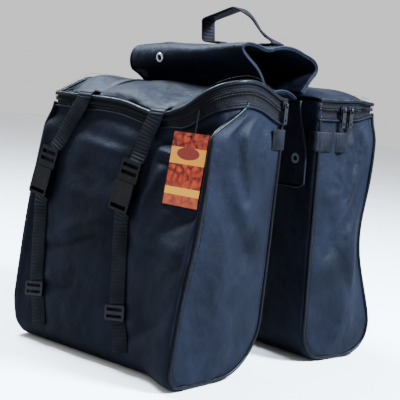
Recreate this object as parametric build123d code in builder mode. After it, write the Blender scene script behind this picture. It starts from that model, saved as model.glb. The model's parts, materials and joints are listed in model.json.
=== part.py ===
"""A pair of throw-over saddlebags: two soft wedge-shaped bags joined by an arched yoke.

Frame: millimetres, +Z up, X along the vehicle (+X forward), Y across it (+Y left).
The bags stand on the plane Z = 0 and the origin is under the middle of the pair.
Each bag is drawn in its own stations: x along the bag, u outboard from the hinge line
at its inner top edge, and z up.
"""
from build123d import *
from math import atan2, cos, radians, sin, tan
import os

os.makedirs("parts", exist_ok=True)

# ---- driving dimensions -------------------------------------------------------------
BAG_WIDTH = 300.0          # along the vehicle
BODY_HEIGHT = 330.0        # base to the zip
TOP_DEPTH = 123.0          # inner to outer panel at the zip
BASE_DEPTH = 152.0         # inner to outer panel at the base
INNER_FOOT = 12.0          # the inner panel's foot stands this far outboard of its top
INNER_BEND = 45.0          # radius where the inner panel turns under
OUTER_BEND = 30.0          # radius where the outer panel turns under
WALL = 4.0                 # foam-backed fabric
TUNNEL = 84.0              # between the two bags at the top
BAG_YAW = 4.0              # each bag is turned so that the pair closes forward
BAG_TURN_STATION = 77.0    # u of the upright line about which a bag is turned

ZIP_TAPE = 2.0             # thickness of the zip tape wall
ZIP_PITCH_Z = 343.5        # height of the line between the two zip coils
ZIP_GAP = 0.3              # between the coils, and between a slider and its chain
COIL_HEIGHT = 2.3
COIL_WIDTH = 3.2
LID_Z = 354.0              # hinge line and underside of the lid
LID_TOP = 370.0
LID_CORNER = 45.0          # plan radius of the lid's outer corners
LID_CROWN = 13.0           # radius over the lid's top edges
LID_PIPING = 3.0
FOAM_SKIN = 2.5

WEBBING = 25.0
WEBBING_THICK = 2.0
BINDING_WIDE = 27.0        # height of the webbing on the side panels
STRAP_AT = (-114.0, 40.0)  # stations of the two straps where they leave the lid
STRAP_SWAY = -19.0         # a strap drifts this far along x from the lid to its buckle
GLIDE_SWAY = -3.0          # and comes back to this at the tri-glide
FOOT_SWAY = 12.0

BUCKLE_DROP = 104.0        # buckle centre below the top of the outer panel
BUCKLE_SLANT = 8.0         # degrees
BUCKLE_WIDE = 34.0
SOCKET_LONG = 38.0
SOCKET_THICK = 12.0
PLUG_THICK = 6.0
PLUG_FRAME = 28.0
PRONG_LONG = 17.0
GLIDE_DROP = 262.0
GLIDE_LONG = 19.0

SLIDER_LONG = 10.0
SLIDER_TALL = 11.0
SLIDER_THICK = 3.0
PULL_LONG = 26.0
PULL_WIDE = 7.0
PULL_THICK = 1.6
PIN_RADIUS = 1.0
PIN_CLEARANCE = 0.06

YOKE_HALF = 105.0          # half length of the arch
YOKE_THICK = 4.0
CROWN_HALF = 25.0          # half width of the arch's flat top
CROWN_Z = 416.0
BULGE_Y = 82.0
BULGE_Z = 393.0
BRIDGE_Z = 348.0
BRIDGE_CLEAR = 5.0
FLAP_TOP_HALF = 108.0
FLAP_FOOT_HALF = 130.0
FLAP_TOP_DROP = 7.0
FLAP_DROP = 108.0
FLAP_THICK = 3.0

HANDLE_AT = (-32.0, 91.0)  # the handle's feet along x
HANDLE_RISE = 50.0
HANDLE_THICK = 3.0

EYELET_OUTER = 7.0
EYELET_BORE = 3.5
EYELET_THICK = 3.6
EYELET_SEAT = 0.05

TAG_WIDE = 55.0
TAG_TALL = 88.0
TAG_THICK = 0.8
TAG_AT = 112.0
TAG_DROP = 34.0

# ---- worked out from the driving dimensions -----------------------------------------
UP = Vector(0, 0, 1)
HALF = BAG_WIDTH / 2
OUTER_FOOT = INNER_FOOT + BASE_DEPTH
OUTER_LEAN = atan2(OUTER_FOOT - TOP_DEPTH, BODY_HEIGHT)
HINGE_WALL_Z = LID_Z - 2   # top of the inner panel, just under the lid's hinge line
INNER_LEAN = atan2(INNER_FOOT, HINGE_WALL_Z)
TOP_TRIM = 0.3             # the walls stop this far under the zip tape
COIL_LOW_Z = ZIP_PITCH_Z - ZIP_GAP / 2 - COIL_HEIGHT
COIL_HIGH_Z = ZIP_PITCH_Z + ZIP_GAP / 2


class Bag:
    """Stations and planes of one bag; side is -1 for the right one and +1 for the left."""

    def __init__(self, name, side, sliders):
        self.name = name
        self.side = side
        self.sliders = sliders
        yaw = radians(-side * BAG_YAW)
        self.along = Vector(cos(yaw), sin(yaw), 0)
        self.out = Vector(-sin(yaw), cos(yaw), 0) * side
        turned = BAG_TURN_STATION * sin(radians(BAG_YAW))
        self.origin = Vector(-turned, side * TUNNEL / 2, 0)
        self.face_up = UP * cos(OUTER_LEAN) - self.out * sin(OUTER_LEAN)
        self.face_out = self.out * cos(OUTER_LEAN) + UP * sin(OUTER_LEAN)
        self.back_up = UP * cos(INNER_LEAN) - self.out * sin(INNER_LEAN)
        self.back_out = self.out * cos(INNER_LEAN) + UP * sin(INNER_LEAN)

    def point(self, x, u, z):
        return self.origin + self.along * x + self.out * u + UP * z

    def section(self, x=0.0):
        """Across the bag: local X runs outboard and local Y up."""
        return Plane(origin=self.point(x, 0, 0), x_dir=self.out, z_dir=self.out.cross(UP))

    def level(self, z):
        """Plan view at a height: local X runs along the bag and local Y outboard."""
        return Plane(origin=self.point(0, 0, z), x_dir=self.along, z_dir=self.along.cross(self.out))

    def face(self, x, drop, standoff, slant=0.0):
        """On the outer panel, standoff proud of it: local Y runs up the panel, leaned by slant."""
        turn = radians(slant)
        origin = (
            self.point(x, TOP_DEPTH, BODY_HEIGHT)
            - self.face_up * drop
            + self.face_out * standoff
        )
        x_dir = self.along * cos(turn) - self.face_up * sin(turn)
        return Plane(origin=origin, x_dir=x_dir, z_dir=self.along.cross(self.face_up))

    def back(self, drop, standoff):
        """On the tunnel side of the inner panel: local Y runs up the panel."""
        origin = self.point(0, 0, HINGE_WALL_Z) - self.back_up * drop - self.out * standoff
        return Plane(origin=origin, x_dir=self.along, z_dir=self.along.cross(self.back_up))


# sliders: (end of the bag the zip run is on, station u)
BAGS = (
    Bag("right", -1, ((1, 9.0), (-1, 60.0))),
    Bag("left", 1, ((1, 60.0), (1, 46.0))),
)


def write(piece, label):
    piece.part.label = label
    export_step(piece.part, f"parts/{label}.step")


# ---- the bag's walls ----------------------------------------------------------------
def inner_u(z, inset):
    """Station of the inner wall, inset from the bag's outside."""
    return INNER_FOOT - z * tan(INNER_LEAN) + inset / cos(INNER_LEAN)


def outer_u(z, inset):
    return OUTER_FOOT - z * tan(OUTER_LEAN) - inset / cos(OUTER_LEAN)


def wall_sketch(*points, bend=None):
    """Ribbon of wall thickness along a run of stations in the bag's section."""
    with BuildSketch() as ribbon:
        with BuildLine() as run:
            if bend is None:
                Line(*points)
            else:
                FilletPolyline(*points, radius=bend)
        trace(run.line, line_width=WALL)
    return ribbon.sketch


MID = WALL / 2
INNER_TURN = (inner_u(MID, MID) + INNER_BEND, MID)        # where the base panel begins
OUTER_TURN = (outer_u(MID, MID) - 1.25 * OUTER_BEND, MID)  # and where it ends


def outer_panel(bag):
    """The outer wall, turned under at the foot, with its top corners folded in to the zip."""
    top_z = BODY_HEIGHT - TOP_TRIM
    top = (outer_u(top_z, MID), top_z)
    foot = (outer_u(MID, MID), MID)
    with BuildPart() as panel:
        with BuildSketch(bag.section()):
            add(wall_sketch(top, foot, OUTER_TURN, bend=OUTER_BEND - MID))
        extrude(amount=HALF - WALL, both=True)
        with BuildSketch(bag.level(BODY_HEIGHT - WALL - TOP_TRIM)):
            with Locations((0, TOP_DEPTH / 2)):
                Rectangle(BAG_WIDTH - 2 * WALL, TOP_DEPTH - WALL)
            with BuildLine():
                rim = rim_run(0)
                Line(rim @ 1, rim @ 0)
            make_face(mode=Mode.SUBTRACT)
        extrude(amount=WALL - TOP_TRIM, dir=(0, 0, 1))
    write(panel, f"{bag.name}_outer_panel")


def inner_panel(bag):
    """The wall on the vehicle's side, which runs on up to the lid's hinge line."""
    top = (inner_u(HINGE_WALL_Z, MID), HINGE_WALL_Z)
    foot = (inner_u(MID, MID), MID)
    with BuildPart() as panel:
        with BuildSketch(bag.section()):
            add(wall_sketch(top, foot, INNER_TURN, bend=INNER_BEND - MID))
        extrude(amount=HALF - WALL, both=True)
    write(panel, f"{bag.name}_inner_panel")


def base_panel(bag):
    with BuildPart() as panel:
        with BuildSketch(bag.section()):
            add(wall_sketch(INNER_TURN, OUTER_TURN))
        extrude(amount=HALF - WALL, both=True)
    write(panel, f"{bag.name}_base_panel")


def outline_run(inset):
    """The inner, base and outer walls as one line, inset from the bag's outside."""
    top_z = BODY_HEIGHT - TOP_TRIM
    return FilletPolyline(
        (inner_u(top_z, inset), top_z),
        (inner_u(inset, inset), inset),
        (outer_u(inset, inset), inset),
        (outer_u(top_z, inset), top_z),
        radius=(INNER_BEND - inset, OUTER_BEND - inset),
    )


def side_panel(bag, end, label):
    """A flat end wall set inside the piping."""
    with BuildPart() as panel:
        with BuildSketch(bag.section(end * (HALF - WALL / 2))):
            with BuildLine():
                walls = outline_run(WALL)
                Line(walls @ 1, walls @ 0)
            make_face()
        extrude(amount=WALL / 2, both=True)
    write(panel, f"{bag.name}_{label}")


def side_piping(bag):
    """Piping round the three sewn edges of both side panels."""
    radius = WALL / 2 - 0.05
    with BuildPart() as piping:
        for end in (-1, 1):
            station = bag.section(end * (HALF - WALL / 2))
            with BuildLine(station) as seam:
                outline_run(WALL / 2)
            with BuildSketch(Plane(origin=seam.line @ 0, z_dir=seam.line % 0)):
                Circle(radius)
            sweep(path=seam.line)
    write(piping, f"{bag.name}_side_piping")


def stiffener_boards(bag):
    """Loose sheets that keep the inner wall and the base flat."""
    board = 2.0
    back_low = 60.0
    back_high = BODY_HEIGHT - 10
    back_x = HALF - WALL - 6
    with BuildPart() as boards:
        with BuildSketch(bag.section()):
            with BuildLine() as back:
                Line(
                    (inner_u(back_low, WALL + board), back_low),
                    (inner_u(back_high, WALL + board), back_high),
                )
            trace(back.line, line_width=board)
            with Locations(((INNER_FOOT + OUTER_FOOT) / 2 + 6, WALL + board)):
                Rectangle(BASE_DEPTH - INNER_BEND - OUTER_BEND, board)
        extrude(amount=back_x, both=True)
    write(boards, f"{bag.name}_stiffener_boards")


# ---- the zip ------------------------------------------------------------------------
def rim_run(inset):
    """The zip's line in plan: up one end, round the outer corners and down the other."""
    reach = HALF - inset
    return FilletPolyline(
        (-reach, 0), (-reach, TOP_DEPTH - inset), (reach, TOP_DEPTH - inset), (reach, 0),
        radius=LID_CORNER - inset,
    )


def zip_half(bag, tape_z, tape_tall, coil_z, label):
    """One tape standing on edge and the coil along it."""
    with BuildPart() as half:
        for z, tall, width in ((tape_z, tape_tall, ZIP_TAPE), (coil_z, COIL_HEIGHT, COIL_WIDTH)):
            with BuildSketch(bag.level(z)):
                with BuildLine() as run:
                    rim_run(COIL_WIDTH / 2)
                trace(run.line, line_width=width)
            extrude(amount=tall, dir=(0, 0, 1))
    write(half, f"{bag.name}_{label}")


def slider_centre(bag, end, u):
    """Where the pull's pin crosses the slider's crown."""
    return bag.point(end * (HALF + ZIP_GAP + SLIDER_THICK + 1.6), u, ZIP_PITCH_Z + 1.5)


def zip_slider(bag, number, end, u):
    """Slider body lying against the chain, with a bored crown that carries the pull."""
    crown_long = 3.0
    crown_radius = 2.2
    body_x = end * (HALF + ZIP_GAP + SLIDER_THICK / 2)
    pin = slider_centre(bag, end, u)
    with BuildPart() as slider:
        with BuildSketch(bag.section(body_x)):
            with Locations((u, ZIP_PITCH_Z)):
                RectangleRounded(SLIDER_LONG, SLIDER_TALL, 3)
        extrude(amount=SLIDER_THICK / 2, both=True)
        with BuildSketch(Plane(origin=pin, x_dir=bag.along, z_dir=bag.out)):
            Circle(crown_radius)
        extrude(amount=crown_long / 2, both=True)
        with BuildSketch(Plane(origin=pin, x_dir=bag.along, z_dir=bag.out)):
            Circle(PIN_RADIUS + PIN_CLEARANCE)
        extrude(amount=crown_long, both=True, mode=Mode.SUBTRACT)
    write(slider, f"{bag.name}_zip_slider_{number}")


def zip_pull(bag, number, end, u):
    """Flat tab with a forked top and a pin through the slider's crown."""
    fork_gap = 3.6
    fork_down = 4.5
    hole_up = 5.0
    pin = slider_centre(bag, end, u)
    tab_plane = Plane(origin=pin, x_dir=bag.out, z_dir=bag.out.cross(UP))
    with BuildPart() as pull:
        with BuildSketch(tab_plane):
            with Locations((0, -PULL_LONG / 2 + 1.2)):
                RectangleRounded(PULL_WIDE, PULL_LONG, 1.4)
            with Locations((0, 0)):
                Rectangle(fork_gap, 2 * fork_down, mode=Mode.SUBTRACT)
            with Locations((0, hole_up - PULL_LONG + 1.2)):
                Circle(1.6, mode=Mode.SUBTRACT)
        extrude(amount=PULL_THICK / 2, both=True)
        with BuildSketch(Plane(origin=pin, x_dir=bag.along, z_dir=bag.out)):
            Circle(PIN_RADIUS)
        extrude(amount=fork_gap / 2 + 0.4, both=True)
    write(pull, f"{bag.name}_zip_pull_{number}")


# ---- the lid ------------------------------------------------------------------------
def lid_blank(inset):
    """Plan outline of the lid's pad."""
    with BuildSketch() as plan:
        with BuildLine():
            rim = rim_run(inset)
            Line(rim @ 1, rim @ 0)
        make_face()
    return plan.sketch


def lid_cover(bag):
    """Crowned, closed fabric cover round the lid's foam."""
    with BuildPart() as cover:
        with BuildSketch(bag.level(LID_Z)):
            add(lid_blank(LID_PIPING + 0.1))
        extrude(amount=LID_TOP - LID_Z, dir=(0, 0, 1))
        fillet(cover.faces().sort_by(Axis.Z)[-1].edges(), LID_CROWN)
        with BuildSketch(bag.level(LID_Z + FOAM_SKIN)):
            with Locations((0, TOP_DEPTH / 2)):
                RectangleRounded(BAG_WIDTH - 44, TOP_DEPTH - 44, 30)
        extrude(amount=LID_TOP - LID_Z - 2 * FOAM_SKIN, dir=(0, 0, 1), mode=Mode.SUBTRACT)
    write(cover, f"{bag.name}_lid_cover")


def lid_foam(bag):
    with BuildPart() as foam:
        with BuildSketch(bag.level(LID_Z + FOAM_SKIN)):
            with Locations((0, TOP_DEPTH / 2)):
                RectangleRounded(BAG_WIDTH - 44, TOP_DEPTH - 44, 30)
        extrude(amount=LID_TOP - LID_Z - 2 * FOAM_SKIN, dir=(0, 0, 1))
    write(foam, f"{bag.name}_lid_foam")


def lid_piping(bag):
    """Piping round the lid's free edge, over the zip."""
    with BuildPart() as piping:
        with BuildLine(bag.level(LID_Z + LID_PIPING / 2)) as edge:
            rim_run(LID_PIPING / 2)
        with BuildSketch(Plane(origin=edge.line @ 0, z_dir=edge.line % 0)):
            Circle(LID_PIPING / 2)
        sweep(path=edge.line)
    write(piping, f"{bag.name}_lid_piping")


# ---- straps and buckles -------------------------------------------------------------
def face_ribbon(bag, stations, standoff):
    """Outline of webbing lying on the outer panel through (x, drop) stations."""
    with BuildSketch(bag.face(0, 0, standoff)) as ribbon:
        with BuildLine() as run:
            Polyline(*[(x, -drop) for x, drop in stations])
        trace(run.line, line_width=WEBBING)
    return ribbon.sketch


def buckle_station(x):
    return x + STRAP_SWAY


def upper_straps(bag):
    """Webbing over the lid and down to each buckle's plug."""
    clear = 1.6
    rear = 18.0
    over = LID_TOP + 0.1 + WEBBING_THICK / 2
    front = TOP_DEPTH + clear
    hang = 2.0
    with BuildPart() as straps:
        for x in STRAP_AT:
            with BuildSketch(bag.section(x)):
                with BuildLine() as run:
                    FilletPolyline(
                        (rear, over), (front, over), (front, BODY_HEIGHT - hang),
                        radius=LID_CROWN + 2,
                    )
                trace(run.line, line_width=WEBBING_THICK)
            extrude(amount=WEBBING / 2, both=True)
            plug_end = BUCKLE_DROP - PLUG_FRAME - 6
            reach = radians(BUCKLE_SLANT)
            end_x = buckle_station(x) + sin(reach) * (BUCKLE_DROP - plug_end)
            drop_run = face_ribbon(bag, ((x, 0), (end_x, plug_end)), clear)
            extrude(drop_run, amount=WEBBING_THICK, dir=bag.face_out)
    write(straps, f"{bag.name}_upper_straps")


def lower_straps(bag):
    """Webbing from each buckle's socket, doubled as far as the tri-glide, to the base seam."""
    gap = 0.5
    foot_drop = BODY_HEIGHT - OUTER_BEND - 2
    with BuildPart() as straps:
        for x in STRAP_AT:
            reach = radians(BUCKLE_SLANT)
            top_drop = BUCKLE_DROP + SOCKET_LONG + 1
            top_x = buckle_station(x) - sin(reach) * (top_drop - BUCKLE_DROP)
            glide_x = x + GLIDE_SWAY
            run = ((top_x, top_drop), (glide_x, GLIDE_DROP), (x + FOOT_SWAY, foot_drop))
            extrude(face_ribbon(bag, run, gap), amount=WEBBING_THICK, dir=bag.face_out)
            extrude(face_ribbon(bag, run[:2], gap), amount=2 * WEBBING_THICK, dir=bag.face_out)
    write(straps, f"{bag.name}_lower_straps")


def buckle_plane(bag, x, standoff):
    return bag.face(buckle_station(x), BUCKLE_DROP, standoff, BUCKLE_SLANT)


def rectangle_on(plane, centre, size):
    with BuildSketch(plane) as outline:
        with Locations(centre):
            Rectangle(*size)
    return outline.sketch


def buckle_sockets(bag):
    """Flat hollow housings, open at the top, with side windows and a webbing loop."""
    back = 1.0
    bore_back = back + (SOCKET_THICK - 7) / 2
    mouth = 4.0
    with BuildPart() as sockets:
        for x in STRAP_AT:
            with BuildSketch(buckle_plane(bag, x, back)):
                with Locations((0, mouth - SOCKET_LONG / 2)):
                    RectangleRounded(BUCKLE_WIDE, SOCKET_LONG, 3)
            extrude(amount=SOCKET_THICK, dir=bag.face_out)
            inside = buckle_plane(bag, x, bore_back)
            bore = rectangle_on(inside, (0, mouth - 12), (28, 25))
            extrude(bore, amount=7, dir=bag.face_out, mode=Mode.SUBTRACT)
            windows = rectangle_on(inside, (0, -8), (BUCKLE_WIDE + 2, 12))
            extrude(windows, amount=7, dir=bag.face_out, mode=Mode.SUBTRACT)
            loop = rectangle_on(buckle_plane(bag, x, back - 1), (0, -28), (27, 5))
            extrude(loop, amount=SOCKET_THICK + 2, dir=bag.face_out, mode=Mode.SUBTRACT)
    write(sockets, f"{bag.name}_buckle_sockets")


def buckle_plug(bag, number, x):
    """Ladder-lock frame with two outer prongs and a middle guide."""
    base = 4.0
    foot = 4.3
    prong_base = base + 0.7
    prong_thick = PLUG_THICK - 1.4
    with BuildPart() as plug:
        with BuildSketch(buckle_plane(bag, x, base)):
            with Locations((0, foot + PLUG_FRAME / 2)):
                RectangleRounded(BUCKLE_WIDE - 1, PLUG_FRAME, 2.5)
            for slot_y in (foot + 11, foot + 20.5):
                with Locations((0, slot_y)):
                    Rectangle(27, 5, mode=Mode.SUBTRACT)
        extrude(amount=PLUG_THICK, dir=bag.face_out)
        prongs = buckle_plane(bag, x, prong_base)
        for prong_x, length in ((-11, PRONG_LONG), (0, PRONG_LONG - 5), (11, PRONG_LONG)):
            centre = (prong_x, foot + 1 - (length + 1) / 2)
            prong = rectangle_on(prongs, centre, (4.4, length + 1))
            extrude(prong, amount=prong_thick, dir=bag.face_out)
    write(plug, f"{bag.name}_buckle_plug_{number}")


def tri_glides(bag):
    """Three-bar slides that fix the doubled webbing."""
    over = 0.5 + 2 * WEBBING_THICK + 0.2
    with BuildPart() as glides:
        for x in STRAP_AT:
            with BuildSketch(bag.face(x + GLIDE_SWAY, GLIDE_DROP, over, -BUCKLE_SLANT)):
                RectangleRounded(BUCKLE_WIDE, GLIDE_LONG, 2.5)
                with Locations((0, 4.2), (0, -4.2)):
                    Rectangle(26, 4, mode=Mode.SUBTRACT)
            extrude(amount=3, dir=bag.face_out)
    write(glides, f"{bag.name}_tri_glides")


def side_webbing(bag):
    """A short band of webbing round each inner upright seam."""
    low_z = 287.0
    reach_u = 57.0
    reach_x = HALF - 16
    proud = WEBBING_THICK / 2 + 0.1
    with BuildPart() as bands:
        for end in (-1, 1):
            with BuildSketch(bag.level(low_z)):
                with BuildLine() as run:
                    FilletPolyline(
                        (end * reach_x, -proud),
                        (end * (HALF + proud), -proud),
                        (end * (HALF + proud), reach_u),
                        radius=1.5,
                    )
                trace(run.line, line_width=WEBBING_THICK)
            extrude(amount=BINDING_WIDE, dir=(0, 0, 1))
    write(bands, f"{bag.name}_side_webbing")


# ---- the yoke -----------------------------------------------------------------------
def yoke_flap(bag):
    """The yoke's tail, sewn down the tunnel side of the inner panel and flared at its foot."""
    foot = -FLAP_DROP
    flare = -FLAP_DROP * 0.7
    with BuildPart() as flap:
        with BuildSketch(bag.back(FLAP_TOP_DROP, FLAP_THICK)):
            with BuildLine():
                FilletPolyline(
                    (-FLAP_TOP_HALF, 0),
                    (-FLAP_FOOT_HALF, flare),
                    (-FLAP_FOOT_HALF, foot),
                    (FLAP_FOOT_HALF, foot),
                    (FLAP_FOOT_HALF, flare),
                    (FLAP_TOP_HALF, 0),
                    radius=9,
                )
                Line((FLAP_TOP_HALF, 0), (-FLAP_TOP_HALF, 0))
            make_face()
            with Locations(*eyelet_stations()):
                Circle(EYELET_OUTER + EYELET_SEAT, mode=Mode.SUBTRACT)
        extrude(amount=FLAP_THICK, dir=bag.out)
    write(flap, f"{bag.name}_yoke_flap")


def eyelet_stations():
    return [(end * (FLAP_FOOT_HALF - 12), -70.0) for end in (-1, 1)]


def flap_eyelets(bag):
    """Rolled metal eyelets at the flap's lower corners, for lashing the bag down."""
    with BuildPart() as eyelets:
        with BuildSketch(bag.back(FLAP_TOP_DROP, EYELET_THICK + EYELET_SEAT)):
            with Locations(*eyelet_stations()):
                Circle(EYELET_OUTER - EYELET_SEAT)
                Circle(EYELET_BORE, mode=Mode.SUBTRACT)
        extrude(amount=EYELET_THICK, dir=bag.back_out)
    write(eyelets, f"{bag.name}_flap_eyelets")


def hinge_line_y(x, clear):
    """Half the gap between the two hinge lines at a station, less a clearance on each side."""
    slope = tan(radians(BAG_YAW))
    return TUNNEL / 2 - clear - (x - BAGS[0].origin.X) * slope


def yoke_bridge():
    """The load-bearing web between the two hinge lines, narrower at the forward end."""
    aft = hinge_line_y(-YOKE_HALF, BRIDGE_CLEAR)
    fore = hinge_line_y(YOKE_HALF, BRIDGE_CLEAR)
    with BuildPart() as bridge:
        with BuildSketch(Plane.XY.offset(BRIDGE_Z)):
            with BuildLine():
                Polyline(
                    (-YOKE_HALF, -aft), (YOKE_HALF, -fore), (YOKE_HALF, fore), (-YOKE_HALF, aft),
                    close=True,
                )
            make_face()
        extrude(amount=YOKE_THICK / 2, both=True)
    write(bridge, "yoke_bridge")


def yoke_crown():
    """The arch's top, which carries the handle."""
    with BuildPart() as crown:
        with BuildSketch(Plane.YZ):
            with Locations((0, CROWN_Z)):
                Rectangle(2 * CROWN_HALF, YOKE_THICK)
        extrude(amount=YOKE_HALF, both=True)
    write(crown, "yoke_crown")


def flank_run(side):
    """One side of the arch in section: up from the hinge line, out over the lid and in again."""
    base_y = hinge_line_y(YOKE_HALF, YOKE_THICK / 2 + 0.6)
    return FilletPolyline(
        (side * base_y, LID_Z - 0.5),
        (side * base_y, LID_TOP + 5),
        (side * BULGE_Y, BULGE_Z - 12),
        (side * BULGE_Y, CROWN_Z - 2),
        (side * (CROWN_HALF + 0.3), CROWN_Z),
        radius=(9, 10, 17),
    )


SNAP_X = -30.0
SNAP_Z = 0.5 * (BULGE_Z - 12 + CROWN_Z - 2)


def yoke_flank(side, label):
    with BuildPart() as flank:
        with BuildSketch(Plane.YZ):
            with BuildLine() as run:
                flank_run(side)
            trace(run.line, line_width=YOKE_THICK)
        extrude(amount=YOKE_HALF, both=True)
        with BuildSketch(Plane.XZ.offset(-side * BULGE_Y)):
            with Locations((SNAP_X, SNAP_Z)):
                Circle(EYELET_OUTER)
        extrude(amount=YOKE_THICK, both=True, mode=Mode.SUBTRACT)
    write(flank, label)


def flank_snaps():
    """Domed metal press studs, one in the middle of each flank of the arch."""
    with BuildPart() as snaps:
        for side in (-1, 1):
            with BuildSketch(Plane.XZ.offset(-side * BULGE_Y)):
                with Locations((SNAP_X, SNAP_Z)):
                    Circle(EYELET_OUTER - 0.05)
                    Circle(EYELET_BORE, mode=Mode.SUBTRACT)
            extrude(amount=YOKE_THICK / 2 + 0.3, both=True)
    write(snaps, "flank_snaps")


def handle():
    """A stiff webbing loop that stands up from the crown."""
    foot_z = CROWN_Z + YOKE_THICK / 2 + 0.3 + HANDLE_THICK / 2 + WEBBING_THICK
    left, right = HANDLE_AT
    peak = foot_z + HANDLE_RISE - 2 * HANDLE_THICK
    with BuildPart() as loop:
        with BuildSketch(Plane.XZ):
            with BuildLine() as run:
                FilletPolyline(
                    (left, foot_z),
                    (left - 12, foot_z + HANDLE_RISE * 0.52),
                    (left + 47, peak),
                    (right - 26, foot_z + HANDLE_RISE * 0.66),
                    (right, foot_z),
                    radius=(16, 20, 16),
                )
            trace(run.line, line_width=HANDLE_THICK)
        extrude(amount=WEBBING / 2, both=True)
    write(loop, "handle")


def handle_feet():
    """Turned-back ends of the handle, stitched down to the crown."""
    with BuildPart() as feet:
        with BuildSketch(Plane.XY.offset(CROWN_Z + YOKE_THICK / 2)):
            with Locations((HANDLE_AT[0] + 12, 0), (HANDLE_AT[1] - 12, 0)):
                Rectangle(30, WEBBING)
        extrude(amount=WEBBING_THICK)
    write(feet, "handle_feet")


# ---- the hang tag -------------------------------------------------------------------
TAG_STANDOFF = 6.5
TAG_HOLE = 2.0


def hang_tag(bag):
    """A card with a hole near its top edge."""
    with BuildPart() as tag:
        with BuildSketch(bag.face(TAG_AT, TAG_DROP, TAG_STANDOFF)):
            with Locations((0, -TAG_TALL / 2 + 5)):
                Rectangle(TAG_WIDE, TAG_TALL)
            Circle(TAG_HOLE, mode=Mode.SUBTRACT)
        extrude(amount=TAG_THICK, dir=bag.face_out)
    write(tag, "hang_tag")


def tag_fastener(bag):
    """A moulded tie: a stem through the tag's hole, a cross bar in front and a strip to the zip."""
    stem = 0.5
    strip = 1.2
    with BuildPart() as tie:
        with BuildSketch(bag.face(TAG_AT, TAG_DROP, 0.2)):
            Circle(stem)
        extrude(amount=TAG_STANDOFF + TAG_THICK + 2.5, dir=bag.face_out)
        with BuildSketch(bag.face(TAG_AT, 0, 0.2)):
            with Locations((0, -TAG_DROP / 2)):
                Rectangle(strip, TAG_DROP)
        extrude(amount=strip, dir=bag.face_out)
        with BuildSketch(bag.face(TAG_AT, TAG_DROP, TAG_STANDOFF + TAG_THICK + 1.5)):
            Rectangle(8, strip)
        extrude(amount=strip, dir=bag.face_out)
    write(tie, "tag_fastener")


# ---- build --------------------------------------------------------------------------
TAPE_TALL = COIL_LOW_Z - BODY_HEIGHT
UPPER_TAPE_Z = COIL_HIGH_Z + COIL_HEIGHT

for bag in BAGS:
    outer_panel(bag)
    inner_panel(bag)
    base_panel(bag)
    side_panel(bag, 1, "fore_side_panel")
    side_panel(bag, -1, "aft_side_panel")
    side_piping(bag)
    stiffener_boards(bag)
    zip_half(bag, BODY_HEIGHT, TAPE_TALL, COIL_LOW_Z, "zip_lower_half")
    zip_half(bag, UPPER_TAPE_Z, LID_Z - UPPER_TAPE_Z, COIL_HIGH_Z, "zip_upper_half")
    for number, (end, u) in enumerate(bag.sliders, start=1):
        zip_slider(bag, number, end, u)
        zip_pull(bag, number, end, u)
    lid_cover(bag)
    lid_foam(bag)
    lid_piping(bag)
    upper_straps(bag)
    lower_straps(bag)
    buckle_sockets(bag)
    for number, x in enumerate(STRAP_AT, start=1):
        buckle_plug(bag, number, x)
    tri_glides(bag)
    side_webbing(bag)
    yoke_flap(bag)
    flap_eyelets(bag)

yoke_bridge()
yoke_crown()
yoke_flank(-1, "yoke_flank_right")
yoke_flank(1, "yoke_flank_left")
flank_snaps()
handle()
handle_feet()
hang_tag(BAGS[0])
tag_fastener(BAGS[0])
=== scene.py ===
"""Looks of the throw-over saddlebag pair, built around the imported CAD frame.

Lengths in the shape functions are millimetres, as in the CAD source; mesh_of() turns them into
metres. Each bag has its own stations: x along the bag, u outboard from the hinge line, z up.
"""
import json
import math

import bmesh
import bpy
import numpy as np
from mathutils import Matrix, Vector, noise


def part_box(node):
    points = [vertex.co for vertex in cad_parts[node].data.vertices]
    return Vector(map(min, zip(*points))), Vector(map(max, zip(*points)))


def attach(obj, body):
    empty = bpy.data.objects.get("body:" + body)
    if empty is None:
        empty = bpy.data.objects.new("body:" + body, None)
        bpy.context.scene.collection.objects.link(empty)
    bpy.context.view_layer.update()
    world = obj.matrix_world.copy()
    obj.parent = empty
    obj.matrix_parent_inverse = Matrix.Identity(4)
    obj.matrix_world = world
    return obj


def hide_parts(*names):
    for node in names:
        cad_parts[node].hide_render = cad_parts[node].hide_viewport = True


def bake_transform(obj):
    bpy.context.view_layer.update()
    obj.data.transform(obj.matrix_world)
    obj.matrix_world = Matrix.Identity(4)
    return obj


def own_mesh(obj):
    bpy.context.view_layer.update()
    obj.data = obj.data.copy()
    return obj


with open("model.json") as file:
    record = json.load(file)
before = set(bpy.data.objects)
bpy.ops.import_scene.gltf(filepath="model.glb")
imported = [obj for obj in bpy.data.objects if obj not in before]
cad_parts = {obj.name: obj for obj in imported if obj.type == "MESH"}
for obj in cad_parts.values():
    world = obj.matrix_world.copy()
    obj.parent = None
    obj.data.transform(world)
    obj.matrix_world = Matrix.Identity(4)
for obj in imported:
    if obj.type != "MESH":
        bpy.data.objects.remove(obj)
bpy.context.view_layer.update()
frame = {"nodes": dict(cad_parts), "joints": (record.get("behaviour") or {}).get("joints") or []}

MM = 0.001
UP = Vector((0, 0, 1))

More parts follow.
